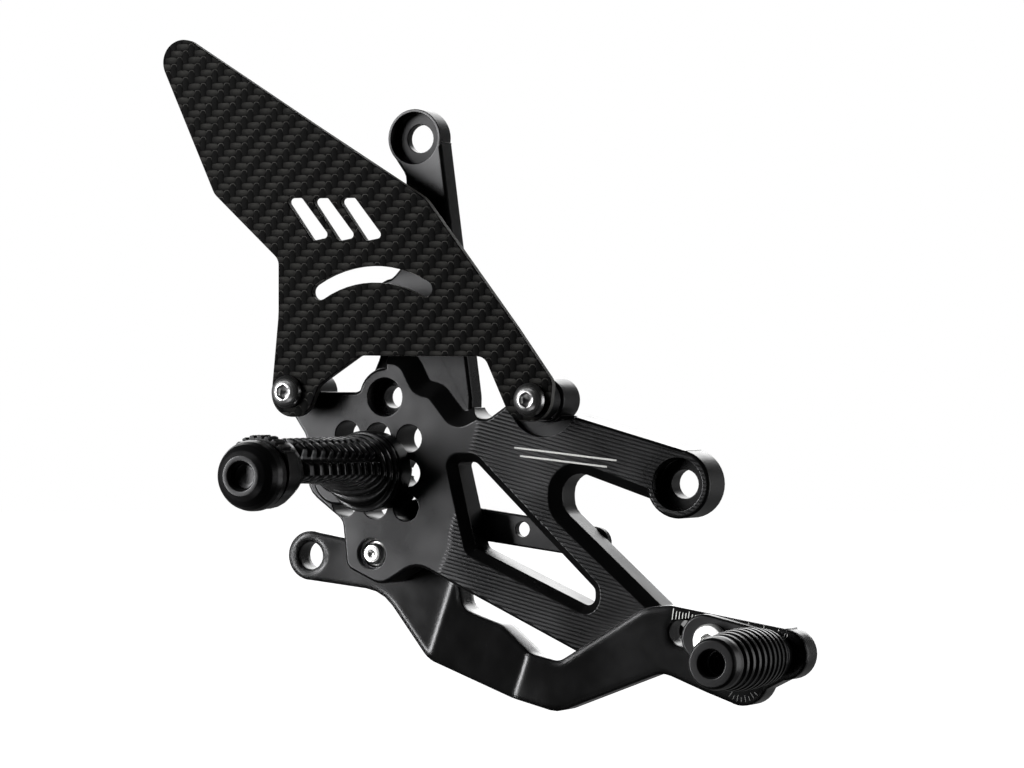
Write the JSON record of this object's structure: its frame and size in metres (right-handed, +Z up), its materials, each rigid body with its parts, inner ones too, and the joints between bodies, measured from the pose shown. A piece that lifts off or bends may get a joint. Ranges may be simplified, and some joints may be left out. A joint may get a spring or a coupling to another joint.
{
  "type": "motorcycle rearset with foot peg",
  "caption": "Right-hand motorcycle rearset: machined bracket with carbon heel guard, ribbed fixed foot peg, pivoting brake lever and adjustable toe peg.",
  "frame": {"origin": "where the centre line of the foot peg's grid of holes meets the bracket's flat inboard face", "axes": "+X to the front of the motorcycle, +Y inboard towards the motorcycle, +Z up; the foot peg points along -Y"},
  "size_m": [0.2229, 0.1193, 0.2114],
  "materials": {
    "anodised_black": "satin black anodised, machined",
    "carbon_laminate": "clear-coated twill carbon fibre",
    "polished_steel": "bright zinc-plated steel",
    "black_steel": "black oxide",
    "bronze": "machined"
  },
  "bodies": {
    "chassis": {"bracket": "anodised_black", "heel_guard": "carbon_laminate", "guard_spacer_rear": "black_steel", "guard_spacer_front": "black_steel", "guard_screw_rear": "polished_steel", "guard_screw_front": "polished_steel", "peg_adapter": "anodised_black", "adapter_screw": "polished_steel", "foot_peg": "anodised_black", "peg_screw": "black_steel", "peg_collar": "anodised_black", "peg_end_cap": "anodised_black", "pivot_bolt": "polished_steel", "pivot_washer": "polished_steel", "switch_bar": "anodised_black", "switch_bar_screw": "black_steel"},
    "lever": {"brake_lever": "anodised_black", "pivot_bush": "bronze"},
    "toe_slider": {"toe_carrier": "anodised_black", "toe_clamp_screw": "polished_steel", "toe_slot_nut": "polished_steel", "toe_peg": "anodised_black", "toe_peg_screw": "black_steel"}
  },
  "joints": [
    {"name": "brake_pivot", "type": "hinge", "parent": "chassis", "child": "lever", "pos_m": [-0.0018, 0, -0.0258], "axis": [0, 1, 0], "range_deg": [0, 14]},
    {"name": "toe_adjust", "type": "slide", "parent": "lever", "child": "toe_slider", "axis": [0.9878, 0, -0.1558], "range_m": [-0.009, 0.003]}
  ]
}
